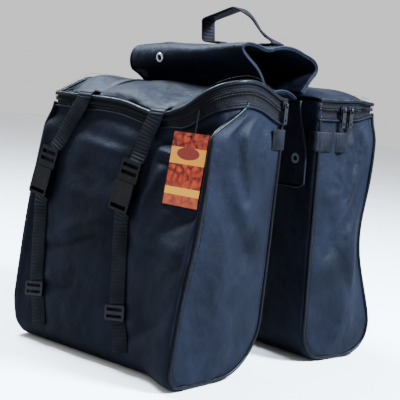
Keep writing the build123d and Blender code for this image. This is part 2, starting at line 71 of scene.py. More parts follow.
# ---- dimensions shared with the CAD source ------------------------------------------
HALF = 150.0
BODY_HEIGHT = 330.0
TOP_DEPTH = 123.0
INNER_FOOT = 12.0
OUTER_FOOT = 164.0
INNER_BEND = 45.0
OUTER_BEND = 30.0
HINGE_WALL_Z = 352.0
ZIP_Z = 343.5
LID_Z = 354.0
LID_CORNER = 45.0
WEBBING = 25.0
STRAP_AT = (-114.0, 40.0)
STRAP_SWAY = -19.0
GLIDE_SWAY = -3.0
FOOT_SWAY = 12.0
BUCKLE_DROP = 104.0
GLIDE_DROP = 262.0
YOKE_HALF = 105.0
FLAP_TOP_DROP = 7.0
NEAR_INNER_BEND = 76.0   # the slack side of each bag is rounder than the CAD's bend
FAR_OUTER_BEND = 58.0
OUTER_SLOPE = (OUTER_FOOT - TOP_DEPTH) / BODY_HEIGHT
INNER_SLOPE = INNER_FOOT / HINGE_WALL_Z
CORNER_ARC = LID_CORNER * math.pi / 2
RIM_HALF = HALF - LID_CORNER + CORNER_ARC   # from the middle of the outer run to a side run


# ---- small maths --------------------------------------------------------------------
def smooth(t, low, high):
    t = min(1.0, max(0.0, (t - low) / (high - low)))
    return t * t * (3 - 2 * t)


def bell(t, middle, width):
    return math.exp(-(((t - middle) / width) ** 2))


def mix(a, b, t):
    return a + (b - a) * t


def crease(x, z, start, end, width):
    """1 on the line from start to end, fading to 0 with distance from it."""
    p, a, b = Vector((x, z)), Vector(start), Vector(end)
    t = min(1.0, max(0.0, (p - a).dot(b - a) / (b - a).length_squared))
    return math.exp(-(((p - a.lerp(b, t)).length / width) ** 2))


def lumps(x, y, z, size, seed=0.0):
    """Smooth noise from about -1 to 1."""
    return noise.noise(Vector((x / size + seed, y / size, z / size)))


# ---- mesh helpers -------------------------------------------------------------------
def mesh_of(name, points, faces):
    """A smooth-shaded object from points in millimetres."""
    mesh = bpy.data.meshes.new(name)
    mesh.from_pydata([tuple(c * MM for c in p) for p in points], [], faces)
    mesh.validate()
    mesh.shade_smooth()
    made = bpy.data.objects.new(name, mesh)
    bpy.context.scene.collection.objects.link(made)
    return made


def grid_faces(rows, columns, offset=0, wrap=False):
    faces = []
    for i in range(rows - 1):
        for j in range(columns if wrap else columns - 1):
            k = (j + 1) % columns
            a, b = offset + i * columns + j, offset + i * columns + k
            faces.append((a, b, b + columns, a + columns))
    return faces


def cloth(name, rows, thick=2.4, outward=None):
    """A sheet from a grid of points, thickened inward from the points, with a bound rim."""
    count, columns = len(rows), len(rows[0])
    grid = np.array([[tuple(p) for p in row] for row in rows], float)
    across = np.gradient(grid, axis=1)
    along = np.gradient(grid, axis=0)
    normal = np.cross(along, across)
    normal /= np.maximum(np.linalg.norm(normal, axis=2, keepdims=True), 1e-9)
    if outward is not None and float((normal * np.array(tuple(outward))).sum()) < 0:
        normal = -normal
    inside = grid - normal * thick
    points = [*grid.reshape(-1, 3), *inside.reshape(-1, 3)]
    size = count * columns
    top = grid_faces(count, columns)
    low = [tuple(reversed([i + size for i in f])) for f in top]
    rim = [*range(columns)]
    rim += [i * columns + columns - 1 for i in range(1, count)]
    rim += [(count - 1) * columns + j for j in range(columns - 2, -1, -1)]
    rim += [i * columns for i in range(count - 2, 0, -1)]
    sides = [
        (b, a, a + size, b + size) for a, b in zip(rim, rim[1:] + rim[:1])
    ]
    made = mesh_of(name, points, top + low + sides)
    tidy_normals(made)
    return made


def tidy_normals(made):
    work = bmesh.new()
    work.from_mesh(made.data)
    bmesh.ops.recalc_face_normals(work, faces=work.faces)
    work.to_mesh(made.data)
    work.free()


def swept(points, sections, closed=False):
    """Points and faces of a section carried along a path; each section is a closed loop."""
    count = len(sections[0])
    verts = [p for section in sections for p in section]
    faces = grid_faces(len(sections), count, wrap=True)
    if closed:
        last = (len(sections) - 1) * count
        faces += [
            (last + j, last + (j + 1) % count, (j + 1) % count, j) for j in range(count)
        ]
    else:
        faces += [tuple(range(count)), tuple(reversed(range(len(verts) - count, len(verts))))]
    return verts, faces


def frames_along(path, closed=False):
    """(tangent, normal, binormal) at each point, turning as little as possible."""
    count = len(path)
    tangents = []
    for i in range(count):
        before = path[i - 1] if closed or i else path[0]
        after = path[(i + 1) % count] if closed or i < count - 1 else path[-1]
        tangents.append((after - before).normalized())
    side = tangents[0].orthogonal().normalized()
    frames = []
    for tangent in tangents:
        side = (side - tangent * side.dot(tangent)).normalized()
        frames.append((tangent, side, tangent.cross(side)))
    return frames


def tube_data(path, radius, around=8, closed=False):
    sections = []
    for p, (_, n, b) in zip(path, frames_along(path, closed)):
        sections.append([
            p + n * (radius * math.cos(k * math.tau / around))
            + b * (radius * math.sin(k * math.tau / around))
            for k in range(around)
        ])
    return swept(path, sections, closed)


def tube(name, path, radius, around=8, closed=False):
    made = mesh_of(name, *tube_data(path, radius, around, closed))
    tidy_normals(made)
    return made


def resample(path, step, closed=False):
    """Evenly spaced points on a polyline."""
    points = list(path) + ([path[0]] if closed else [])
    lengths = [0.0]
    for a, b in zip(points, points[1:]):
        lengths.append(lengths[-1] + (b - a).length)
    count = max(2, round(lengths[-1] / step))
    flat = np.array([tuple(p) for p in points])
    at = np.linspace(0, lengths[-1], count + 1)
    if closed:
        at = at[:-1]
    out = np.stack([np.interp(at, lengths, flat[:, k]) for k in range(3)], axis=1)
    return [Vector(p) for p in out]


def rounded(path, passes=3):
    """Corner-cut a polyline, keeping its ends."""
    points = list(path)
    for _ in range(passes):
        cut = [points[0]]
        for a, b in zip(points, points[1:]):
            cut += [a.lerp(b, 0.25), a.lerp(b, 0.75)]
        points = cut + [points[-1]]
    return points


def band_data(path, sides, width, thick, rib=0.0, pitch=2.2):
    """Webbing: a flat section with full edges, ribbed across. sides point across the band."""
    sections, run = [], 0.0
    shape = [(-1, 0), (-0.985, .34), (-0.93, .5), (-0.5, .5), (0, .5), (0.5, .5), (0.93, .5),
             (0.985, .34), (1, 0), (0.985, -.34), (0.93, -.5), (0, -.5), (-0.93, -.5), (-0.985, -.34)]
    for i, p in enumerate(path):
        before, after = path[max(0, i - 1)], path[min(len(path) - 1, i + 1)]
        tangent = (after - before).normalized()
        side = (sides[i] - tangent * sides[i].dot(tangent)).normalized()
        up = side.cross(tangent)
        if i:
            run += (p - path[i - 1]).length
        swell = rib * math.cos(run / pitch * math.tau)
        sections.append([
            p + side * (s * width / 2) + up * (t * (thick + (swell if abs(s) < 0.95 else 0)))
            for s, t in shape
        ])
    return swept(path, sections)


def merged(name, parts):
    """One object from several (points, faces) lists."""
    points, faces = [], []
    for verts, quads in parts:
        offset = len(points)
        points += verts
        faces += [tuple(i + offset for i in f) for f in quads]
    made = mesh_of(name, points, faces)
    tidy_normals(made)
    return made


def pill_data(centre, along, across, up, size):
    """A small rounded bead: a stitch or a zip tooth."""
    a, b, c = (s / 2 for s in size)
    verts = []
    for t, k in ((-1, .45), (-.6, 1), (.6, 1), (1, .45)):
        for n in range(6):
            turn = n * math.tau / 6
            verts.append(
                centre + along * (a * t) + across * (b * k * math.cos(turn))
                + up * (c * k * math.sin(turn))
            )
    faces = grid_faces(4, 6, wrap=True) + [tuple(range(6)), tuple(reversed(range(18, 24)))]
    return verts, faces


def stitch_data(path, ups, pitch=3.4, long=2.3, thick=0.55):
    """A row of stitches along a path that is already evenly sampled at about 1 mm."""
    parts, run, next_at = [], 0.0, pitch / 2
    for i in range(1, len(path)):
        step = (path[i] - path[i - 1]).length
        run += step
        if run >= next_at:
            along = (path[i] - path[i - 1]).normalized()
            up = ups[i]
            across = along.cross(up).normalized()
            parts.append(pill_data(path[i] + up * 0.1, along, across, up, (long, thick, thick)))
            next_at += pitch
    return parts


# ---- materials ----------------------------------------------------------------------
class Paint:
    """A node material under construction."""

    def __init__(self, name):
        self.material = bpy.data.materials.new(name)
        self.material.use_nodes = True
        self.nodes = self.material.node_tree.nodes
        self.links = self.material.node_tree.links
        self.shader = self.nodes["Principled BSDF"]
        self.place = self.nodes.new("ShaderNodeTexCoord").outputs["Object"]

    def set(self, **values):
        for name, value in values.items():
            self.shader.inputs[name.replace("_", " ")].default_value = value

    def link(self, out, socket):
        self.links.new(out, socket)

    def stretched(self, scale):
        mapping = self.nodes.new("ShaderNodeMapping")
        mapping.inputs["Scale"].default_value = scale
        self.link(self.place, mapping.inputs["Vector"])
        return mapping.outputs["Vector"]

    def noise(self, scale, detail=4.0, vector=None):
        node = self.nodes.new("ShaderNodeTexNoise")
        node.inputs["Scale"].default_value = scale
        node.inputs["Detail"].default_value = detail
        self.link(vector or self.place, node.inputs["Vector"])
        return node.outputs["Fac"]

    def wave(self, scale, axis, distortion=0.0, vector=None):
        node = self.nodes.new("ShaderNodeTexWave")
        node.bands_direction = axis
        node.inputs["Scale"].default_value = scale
        node.inputs["Distortion"].default_value = distortion
        self.link(vector or self.place, node.inputs["Vector"])
        return node.outputs["Fac"]

    def maths(self, operation, a, b):
        node = self.nodes.new("ShaderNodeMath")
        node.operation = operation
        for socket, value in zip(node.inputs, (a, b)):
            if isinstance(value, (int, float)):
                socket.default_value = value
            else:
                self.link(value, socket)
        return node.outputs["Value"]

    def ramp(self, value, *stops):
        node = self.nodes.new("ShaderNodeValToRGB")
        elements = node.color_ramp.elements
        while len(elements) < len(stops):
            elements.new(0.5)
        for element, (at, colour) in zip(elements, stops):
            element.position = at
            element.color = (*colour, 1)
        self.link(value, node.inputs["Fac"])
        return node.outputs["Color"]

    def spread(self, value, low, high):
        node = self.nodes.new("ShaderNodeMapRange")
        node.inputs["To Min"].default_value = low
        node.inputs["To Max"].default_value = high
        self.link(value, node.inputs["Value"])
        return node.outputs["Result"]

    def bump(self, *layers):
        """Each layer is (height, strength, distance in metres); later ones go on top."""
        normal = None
        for height, strength, distance in layers:
            node = self.nodes.new("ShaderNodeBump")
            node.inputs["Strength"].default_value = strength
            node.inputs["Distance"].default_value = distance
            self.link(height, node.inputs["Height"])
            if normal is not None:
                self.link(normal, node.inputs["Normal"])
            normal = node.outputs["Normal"]
        self.link(normal, self.shader.inputs["Normal"])


THREAD = 1150.0   # threads a metre in the nylon


def woven(name, dark, light, rough, sheen, tint, gloss=0.05):
    """Coated plain-weave nylon: crossing threads, slubs and a slow change of tone."""
    paint = Paint(name)
    threads = [paint.wave(THREAD / 6.28, axis, 0.6) for axis in ("X", "Y", "Z")]
    weave = paint.maths("MULTIPLY", paint.maths("MAXIMUM", threads[0], threads[1]), threads[2])
    slub = paint.noise(900, 2, paint.stretched((1, 1, 0.16)))
    tone = paint.noise(14, 3)
    mottle = paint.maths("ADD", paint.maths("MULTIPLY", tone, 0.7), paint.maths("MULTIPLY", slub, 0.3))
    paint.link(paint.ramp(mottle, (0.34, dark), (0.68, light)), paint.shader.inputs["Base Color"])
    paint.link(paint.spread(slub, rough - 0.08, rough + 0.1), paint.shader.inputs["Roughness"])
    paint.set(Sheen_Weight=sheen, Sheen_Roughness=0.38, Sheen_Tint=(*tint, 1), Specular_IOR_Level=gloss)
    crease = paint.noise(17, 3, paint.stretched((1, 1, 0.6)))
    crumple = paint.noise(55, 6)
    paint.bump((crease, 0.45, 0.012), (crumple, 0.4, 0.006), (slub, 0.3, 0.0006), (weave, 0.3, 0.0002))
    return paint.material


def ribbed(name, dark, light):
    """Webbing: fine warp cords along the band between its modelled cross ribs."""
    paint = Paint(name)
    fuzz = paint.noise(1400, 3)
    tone = paint.noise(45, 2)
    paint.link(paint.ramp(tone, (0.35, dark), (0.7, light)), paint.shader.inputs["Base Color"])
    paint.link(paint.spread(fuzz, 0.42, 0.62), paint.shader.inputs["Roughness"])
    paint.set(Sheen_Weight=0.01, Sheen_Roughness=0.35, Sheen_Tint=(0.6, 0.7, 0.95, 1),
              Specular_IOR_Level=0.05)
    cords = paint.maths("MULTIPLY", paint.wave(170, "X", 1.0), paint.wave(170, "Y", 1.0))
    paint.bump((cords, 0.3, 0.0003), (fuzz, 0.35, 0.0003))
    return paint.material


def moulded(name, colour, rough, coat):
    paint = Paint(name)
    grain = paint.noise(1100, 3)
    wear = paint.noise(120, 6)
    pale = tuple(min(1.0, c * 2.2 + 0.002) for c in colour)
    paint.link(paint.ramp(wear, (0.45, colour), (0.8, pale)), paint.shader.inputs["Base Color"])
    paint.link(paint.spread(grain, rough - 0.06, rough + 0.08), paint.shader.inputs["Roughness"])
    paint.set(Coat_Weight=coat, Coat_Roughness=0.16, Specular_IOR_Level=0.1)
    paint.bump((grain, 0.12, 0.0002),)
    return paint.material


def plated(name, colour, rough):
    paint = Paint(name)
    grime = paint.noise(380, 6)
    dull = tuple(c * 0.55 for c in colour)
    paint.link(paint.ramp(grime, (0.3, dull), (0.55, colour)), paint.shader.inputs["Base Color"])
    paint.link(paint.spread(grime, rough - 0.06, rough + 0.16), paint.shader.inputs["Roughness"])
    paint.set(Metallic=1.0)
    paint.bump((grime, 0.15, 0.0002),)
    return paint.material


def dotted(paint, direction, offset):
    """Distance of the surface along a direction from a plane, in metres."""
    node = paint.nodes.new("ShaderNodeVectorMath")
    node.operation = "DOT_PRODUCT"
    paint.link(paint.place, node.inputs[0])
    node.inputs[1].default_value = tuple(direction)
    return paint.maths("SUBTRACT", node.outputs["Value"], offset)


def blended(paint, factor, under, over):
    node = paint.nodes.new("ShaderNodeMix")
    node.data_type = "RGBA"
    paint.link(factor, node.inputs["Factor"])
    for socket, value in ((node.inputs[6], under), (node.inputs[7], over)):
        if isinstance(value, tuple):
            socket.default_value = (*value, 1)
        else:
            paint.link(value, socket)
    return node.outputs[2]


def within(paint, value, low, high):
    return paint.maths(
        "MULTIPLY", paint.maths("GREATER_THAN", value, low), paint.maths("LESS_THAN", value, high)
    )


NYLON = woven("nylon", (0.0018, 0.0021, 0.0038), (0.0056, 0.0067, 0.0125), 0.58, 0.0, (0.4, 0.55, 0.95))
# The binding's dark tone is raised above the nylon's as a painted highlight: the light line along the
# bound edges.
BINDING_WITH_PAINTED_HIGHLIGHT = woven("binding", (0.006, 0.0065, 0.01), (0.014, 0.015, 0.02), 0.5, 0.0, (0.8, 0.85, 1.0))
PIPING = woven("piping", (0.0005, 0.0005, 0.0008), (0.0014, 0.0015, 0.0022), 0.42, 0.0,
               (0.7, 0.8, 1.0), 0.1)
TAPE = woven("zip_tape", (0.0015, 0.0014, 0.0018), (0.006, 0.005, 0.006), 0.6, 0.02, (0.7, 0.72, 0.9))
WEBS = ribbed("webbing", (0.0016, 0.0016, 0.0023), (0.006, 0.006, 0.0085))
TEETH = moulded("zip_teeth", (0.002, 0.002, 0.0022), 0.4, 0.06)
THREADS = moulded("thread", (0.003, 0.0035, 0.006), 0.5, 0.0)
PLASTIC = moulded("buckle_plastic", (0.0015, 0.0015, 0.0024), 0.26, 0.16)
BRIGHT = plated("nickel", (0.5, 0.5, 0.52), 0.28)
DARK = plated("black_enamel", (0.05, 0.052, 0.06), 0.3)
TIE = moulded("tie_plastic", (0.004, 0.004, 0.005), 0.35, 0.3)


def wear(piece, material):
    piece.data.materials.clear()
    piece.data.materials.append(material)


def dress(piece, material, body, slot, *nodes):
    """Paint a piece, let it ride on its body and stand for its CAD nodes."""
    wear(piece, material)
    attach(piece, body)
    if nodes:
        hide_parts(*nodes)
    return piece


# ---- one bag's stations -------------------------------------------------------------
class Bag:
    def __init__(self, name, side):
        hinge = next(j for j in frame["joints"] if j["name"] == f"{name}_lid_hinge")
        self.name, self.side = name, side
        self.along = Vector(hinge["axis"]).normalized() * side
        self.out = UP.cross(self.along) * side
        self.origin = Vector(hinge["pos_m"]) / MM
        self.origin.z = 0
        lean = math.atan(OUTER_SLOPE)
        self.face_up = UP * math.cos(lean) - self.out * math.sin(lean)
        self.face_out = self.out * math.cos(lean) + UP * math.sin(lean)
        self.phase = 3.7 * side

    def at(self, x, u, z):
        """A place on the bag, with the zip line's rise and fall let in."""
        z_up = z + self.lift(x, u) * smooth(z, 205, 335) + self.swell(x, u, z)
        x, u = self.filled(x, u, z)
        return self.flat(x, u, z_up)

    def filled(self, x, u, z):
        """The near bag is stuffed out at its aft outer edge, the far one has a slack waist."""
        if self.side > 0:
            waist = bell(z, 165, 85) * smooth(x, 60, 150) * smooth(u, 70, 150)
            return x - 8 * waist, u - 22 * waist
        share = smooth(-x, 100, 150) * smooth(u, 66, 116) * smooth(z, 0, 60)
        belly = 8 + 5 * math.sin(math.pi * min(1.0, z / BODY_HEIGHT))
        return x - belly * share, u + 4 * share * smooth(-x, 136, 150)

    def swell(self, x, u, z):
        """The fabric swells over the zip band from below and above, except at the near fore end."""
        shut = 1 - smooth(x, 50, 110) if self.side < 0 else 1.0
        shut *= mix(0.3, 1.0, smooth(u, 76, 108))
        if z <= BODY_HEIGHT:
            return 8 * shut * smooth(z, 230, BODY_HEIGHT)
        return mix(8, -5, min(1.0, (z - BODY_HEIGHT) / (LID_Z - BODY_HEIGHT))) * shut

    def flat(self, x, u, z):
        return self.origin + self.along * x + self.out * u + UP * z

    def on_face(self, x, drop, standoff):
        return self.flat(x, TOP_DEPTH, BODY_HEIGHT) - self.face_up * drop + self.face_out * standoff

    def lift(self, x, u):
        """How far the zip line and the lid stand above their nominal height."""
        if self.side < 0:
            outer = -20 - 12 * bell(x, 42, 45) + 28 * smooth(x, 82, 150)
            end = smooth(x, 80, 150) * (5 * bell(u, 70, 34) - 7 * bell(u, 8, 26))
            reach = mix(smooth(u, -10, 90), smooth(u, 58, 118), smooth(-x, 60, 125))
            return outer * reach + end
        reach = smooth(u, 15, 118)
        return reach * (5 * smooth(x, 70, 135) + 2.0 * math.sin(x / 35.0 + 1.2) - 3 * bell(x, 40, 32))

    def bags_body(self):
        return f"{self.name}_bag"


def rim_plan(bag, run, inset):
    """The zip's line in plan at a signed distance from the middle of the outer run."""
    away, sign = abs(run), math.copysign(1, run)
    straight = HALF - LID_CORNER
    radius = LID_CORNER - inset
    if away <= straight:
        return away * sign, TOP_DEPTH - inset
    if away <= RIM_HALF:
        turn = (away - straight) / LID_CORNER
        full = 0.45 if bag.side * run > 0 else 1.0
        return (sign * (straight + radius * math.sin(turn) ** full),
                TOP_DEPTH - LID_CORNER + radius * max(0.0, math.cos(turn)) ** full)
    return sign * (HALF - inset), TOP_DEPTH - LID_CORNER - (away - RIM_HALF)


RIM_END = RIM_HALF + TOP_DEPTH - LID_CORNER - 2


def rim_path(bag, inset, z, step=2.0, end=RIM_END):
    count = round(2 * end / step)
    points = []
    for i in range(count + 1):
        x, u = rim_plan(bag, -end + 2 * end * i / count, inset)
        points.append(bag.at(x, u, z))
    return points


def wall_outer(z):
    return OUTER_FOOT - z * OUTER_SLOPE


def wall_inner(z):
    return INNER_FOOT - z * INNER_SLOPE


# ---- the soft walls -----------------------------------------------------------------
PLUG_TOP = BUCKLE_DROP - 30
EDGE = 6.0              # rounding of the upright sewn edges
GATHER_LOW = 292.0      # above this height the corners are drawn in to the rounded zip


FRONT_FOLDS = (   # start, stop, half width and height of the near bag's loose folds
    ((-138, 118), (-24, 160), 8, -3.4), ((-130, 134), (-20, 178), 9, 2.6),
    ((-143, 62), (-51, 90), 8, -3.0), ((-140, 80), (-60, 106), 8, 2.4),
    ((29, 30), (118, 78), 8, -3.6), ((40, 20), (124, 58), 8, 2.8),
    ((40, 160), (128, 141), 9, -2.8), ((52, 176), (130, 160), 9, 2.6),
    ((-97, 288), (-4, 276), 8, 2.6), ((74, 276), (50, 206), 8, 3.0),
    ((-60, 250), (20, 226), 11, -2.6), ((-84, 210), (0, 200), 12, 2.2),
)


def strap_x(bag, x_at, drop):
    """Where a strap's middle runs on the outer wall, at a distance below its top."""
    if drop < PLUG_TOP:
        return mix(over_x(bag, x_at), x_at - 12, drop / PLUG_TOP)
    if drop < BUCKLE_DROP + 40:
        return x_at + STRAP_SWAY * min(1.0, drop / BUCKLE_DROP)
    t = (drop - BUCKLE_DROP - 40) / (GLIDE_DROP - BUCKLE_DROP - 40)
    if t < 1:
        return x_at + mix(STRAP_SWAY - 4, GLIDE_SWAY, t)
    return x_at + mix(GLIDE_SWAY, FOOT_SWAY, min(1.0, (drop - GLIDE_DROP) / 40))


def over_x(bag, x_at):
    """Where a strap crosses the lid: the near bag's aft one runs slanting."""
    if bag.side > 0:
        return x_at
    return x_at + (26 if x_at < 0 else 4)


def outer_relief(bag, x, z):
    """How far the outer wall stands out of its plain leaning face."""
    drop = BODY_HEIGHT - z
    pillow = 7.5 * (1 - (x / HALF) ** 4) * math.sin(math.pi * min(1.0, z / BODY_HEIGHT)) ** 0.7
    tied = max(bell(x, strap_x(bag, s, drop), 21) for s in STRAP_AT)
    relief = pillow * (1 - tied) - 1.0 * tied
    relief += 2.4 * (1 - tied) * lumps(x, z, bag.phase, 52, 1.3)
    relief += 1.1 * (1 - tied) * lumps(x, z * 0.7, bag.phase, 20, 4.1)
    if bag.side < 0:
        inner = 1 - smooth(x, 138, 149)
        right_of_strap = smooth(x, 50, 68)
        pocket = crease(x, z, (62, 312), (136, 306), 9.5)
        roll = crease(x, z, (58, 296), (100, 284), 7) + crease(x, z, (100, 284), (140, 297), 7)
        under = crease(x, z, (66, 276), (134, 276), 9)
        relief += inner * right_of_strap * (-15 * pocket + 6.5 * min(1.0, roll) - 6 * under)
        for start, stop, width, height in FRONT_FOLDS:
            relief += height * (1 - tied) * crease(x, z, start, stop, width)
        relief += 3.5 * (1 - tied) * crease(x, z, (-84, 318), (10, 306), 9)
        relief -= 3.0 * (1 - tied) * crease(x, z, (-90, 296), (0, 290), 11)
        relief -= 2.6 * inner * crease(x, z, (104, 262), (142, 150), 14)
        under_tag = smooth(x, 84, 92) * (1 - smooth(x, 134, 142)) * smooth(z, 205, 215)
        relief = mix(relief, min(relief, mix(2.0, -1.2, smooth(z, 255, 272))), under_tag)
    else:
        fore = smooth(x, 60, 90) * (1 - smooth(x, 134, 149))
        relief -= 5 * fore * crease(x, z, (80, 300), (130, 296), 9)
    return relief


def bends(bag):
    """Radii of the inner and outer bottom bends: slack fabric rounds one side of each bag more."""
    return (NEAR_INNER_BEND, OUTER_BEND) if bag.side < 0 else (INNER_BEND, FAR_OUTER_BEND)


def seam_belly(bag, z):
    """How far the near bag's outer fore seam bows out of its straight line."""
    if bag.side > 0:
        return 0.0
    return 23 - 8 * smooth(z, 90, 200) + 3 * smooth(z, 235, 300)


def corner(bag, end):
    """(run, depth) where an outer seam meets the zip: the stuffed corners are almost square."""
    if bag.side * end > 0:
        return HALF - LID_CORNER + CORNER_ARC / 2, TOP_DEPTH - 7
    return RIM_HALF, TOP_DEPTH - LID_CORNER


def outer_point(bag, x, z):
    """The outer wall with its turned-under foot, pillowed face and gathered top corners."""
    away = abs(x)
    edge = 0.0
    if away > HALF - EDGE:
        edge = EDGE - math.sqrt(max(0.0, EDGE ** 2 - (away - HALF + EDGE) ** 2))
    gathered = smooth(z, GATHER_LOW, BODY_HEIGHT)
    out = outer_relief(bag, x, z) * (1 - 0.8 * gathered) * smooth(z, 0, 40)
    belly_from = mix(76, 138, smooth(z, 165, 212))   # the tag's part of the wall stays flat
    u = wall_outer(z) - edge + out + seam_belly(bag, z) * smooth(x, belly_from, 150)
    radius = bends(bag)[1]
    if z < radius:
        u -= radius - math.sqrt(max(0.0, radius ** 2 - (radius - z) ** 2))
    beyond = corner(bag, math.copysign(1, x))[0] - HALF
    run = x + math.copysign(beyond * max(0.0, (away - 60) / (HALF - 60)) ** 2, x)
    rim_x, rim_u = rim_plan(bag, run, 2.0)
    return bag.at(mix(x, rim_x, gathered), mix(u, rim_u, gathered), z)


def side_relief(bag, end, share, z):
    """How far an end wall stands out; share runs 0 at the inner edge to 1 at the outer."""
    height = min(1.0, z / BODY_HEIGHT)
    belly = 9.0 * math.sin(math.pi * share) ** 0.7 * math.sin(math.pi * height ** 0.85) ** 0.6
    depth = share * 130
    relief = belly + 2.2 * lumps(depth, z * 0.7, end * 9 + bag.phase, 34, 2.2)
    relief += 1.0 * lumps(depth, z, end * 5 + bag.phase, 15, 7.7)
    inside = math.sin(math.pi * share) ** 0.5
    folds = (
        ((118, 250), (30, 150), 15, -5.0), ((92, 300), (60, 226), 9, -3.4),
        ((44, 318), (36, 240), 8, -2.6), ((74, 318), (70, 262), 7, 2.6),
        ((20, 208), (78, 96), 16, -3.0), ((100, 150), (60, 40), 18, 2.4),
        ((104, 312), (116, 272), 8, 3.0),
    )
    for start, stop, width, height_of in folds:
        relief += 1.5 * height_of * inside * crease(depth, z, start, stop, width)
    return relief


def side_point(bag, end, share, z):
    inner_bend, outer_bend = bends(bag)
    inner_radius, outer_radius = inner_bend - EDGE, outer_bend - EDGE
    low = wall_inner(z) + EDGE
    high = wall_outer(z) - EDGE + (seam_belly(bag, z) if end > 0 else 0)
    if z < inner_bend:
        low += inner_radius - math.sqrt(max(0.0, inner_radius ** 2 - (inner_bend - z) ** 2))
    if z < outer_bend:
        high -= outer_radius - math.sqrt(max(0.0, outer_radius ** 2 - (outer_bend - z) ** 2))
    gathered = smooth(z, GATHER_LOW, BODY_HEIGHT)
    high = mix(high, corner(bag, end)[1], gathered)
    proud = side_relief(bag, end, share, z) * (1 - 0.75 * gathered) * math.sin(math.pi * share) ** 0.3
    square = 4.5 * share ** 8 if bag.side * end > 0 else 0.0
    x = end * (HALF + mix(proud, -2.0 - square, gathered * 0.9))
    return bag.at(x, mix(low, high, share), z)


def spaced(low, high, count):
    return [low + (high - low) * i / (count - 1) for i in range(count)]


def foot_heights():
    """Heights of the rows of a wall, close together where it turns under."""
    return [EDGE + (BODY_HEIGHT - EDGE) * (i / 92) ** 1.18 for i in range(93)]


def bag_walls(bag):
    body = bag.bags_body()
    inner_bend, outer_bend = bends(bag)
    stations = [HALF * math.sin(t) for t in spaced(-math.pi / 2, math.pi / 2, 96)]
    turned = [outer_bend * (1 - math.cos(t)) for t in spaced(0, math.pi / 2, 12)][:-1]
    heights = turned + spaced(outer_bend, BODY_HEIGHT, 84)
    outer = cloth(
        f"{bag.name}_outer_cloth",
        [[outer_point(bag, x, z) for x in stations] for z in heights], outward=bag.out,
    )
    dress(outer, NYLON, body, "nylon", f"{bag.name}_outer_panel")

    rows = []
    turned = [inner_bend * (1 - math.cos(t)) for t in spaced(0, math.pi / 2, 14)][:-1]
    for z in turned + spaced(inner_bend, HINGE_WALL_Z, 60):
        row = []
        for x in stations:
            away = abs(x)
            edge = 0.0
            if away > HALF - EDGE:
                edge = EDGE - math.sqrt(max(0.0, EDGE ** 2 - (away - HALF + EDGE) ** 2))
            u = wall_inner(z) + edge
            if z < inner_bend:
                u += inner_bend - math.sqrt(max(0.0, inner_bend ** 2 - (inner_bend - z) ** 2))
            u -= 1.2 * lumps(x, z, bag.phase, 70, 8.0) * smooth(z, 20, 70) * (1 - smooth(z, 250, 300))
            row.append(bag.flat(x, u, z))
        rows.append(row)
    inner = cloth(f"{bag.name}_inner_cloth", rows, outward=-bag.out)
    dress(inner, NYLON, body, "nylon", f"{bag.name}_inner_panel", f"{bag.name}_stiffener_boards")

    rows = []
    for u in spaced(INNER_FOOT + inner_bend, OUTER_FOOT - outer_bend, 26):
        row = []
        for x in stations:
            away = abs(x)
            edge = 0.0
            if away > HALF - EDGE:
                edge = EDGE - math.sqrt(max(0.0, EDGE ** 2 - (away - HALF + EDGE) ** 2))
            flare = seam_belly(bag, 0) * smooth(x, 76, 150) * (u - INNER_FOOT - inner_bend) / 60
            row.append(bag.flat(x, u + flare, edge))
        rows.append(row)
    base = cloth(f"{bag.name}_base_cloth", rows, outward=-UP)
    dress(base, NYLON, body, "nylon", f"{bag.name}_base_panel")

    for end, label in ((1, "fore"), (-1, "aft")):
        rows = [[side_point(bag, end, s, z) for s in spaced(0, 1, 44)] for z in foot_heights()]
        side = cloth(f"{bag.name}_{label}_side_cloth", rows, outward=bag.along * end)
        dress(side, NYLON, body, "nylon", f"{bag.name}_{label}_side_panel")


def seam_path(bag, end):
    """Round one end wall: down its inner edge, along the base and up its outer edge."""
    inner = [side_point(bag, end, 0, z) for z in reversed(foot_heights())]
    outer = [side_point(bag, end, 1, z) for z in foot_heights()]
    return inner + outer


def bag_piping(bag):
    parts, seams = [], []
    for end in (-1, 1):
        path = resample(seam_path(bag, end), 3.0)
        centre = bag.flat(end * HALF, 80, 150)
        proud = [p + (p - centre).normalized() * 1.6 + bag.along * (end * 0.4) for p in path]
        parts.append(tube_data(proud, 2.3, 10))
        fine = resample(seam_path(bag, end), 1.1)
        sunk = [p + (centre - p).normalized() * 5.5 + bag.along * (end * 1.6) for p in fine]
        seams += stitch_data(sunk, [bag.along * end] * len(sunk), 3.6, 2.4, 0.6)
    piping = merged(f"{bag.name}_piping_cord", parts)
    dress(piping, PIPING, bag.bags_body(), "piping", f"{bag.name}_side_piping")
    stitches = merged(f"{bag.name}_seam_stitches", seams)
    dress(stitches, THREADS, bag.bags_body(), "piping")


# ---- the zip ------------------------------------------------------------------------
def tape_rows(bag, low, high, inset, count=7):
    """A tape standing on edge round the rim, a little concave between its two edges."""
    rows = []
    steps = 230
    for k in range(count):
        share = k / (count - 1)
        hollow = 1.2 * math.sin(math.pi * share)
        row = []
        for i in range(steps + 1):
            x, u = rim_plan(bag, -RIM_END + 2 * RIM_END * i / steps, inset + hollow)
            row.append(bag.at(x, u, mix(low, high, share)))
        rows.append(row)
    return rows


def rim_normals(bag, path):
    frames = frames_along(path)
    normals = []
    centre = bag.flat(0, 45, 0)
    for p, (tangent, _, _) in zip(path, frames):
        out = tangent.cross(UP).normalized()
        if out.dot(Vector((p.x - centre.x, p.y - centre.y, 0))) < 0:
            out = -out
        normals.append(out)
    return normals


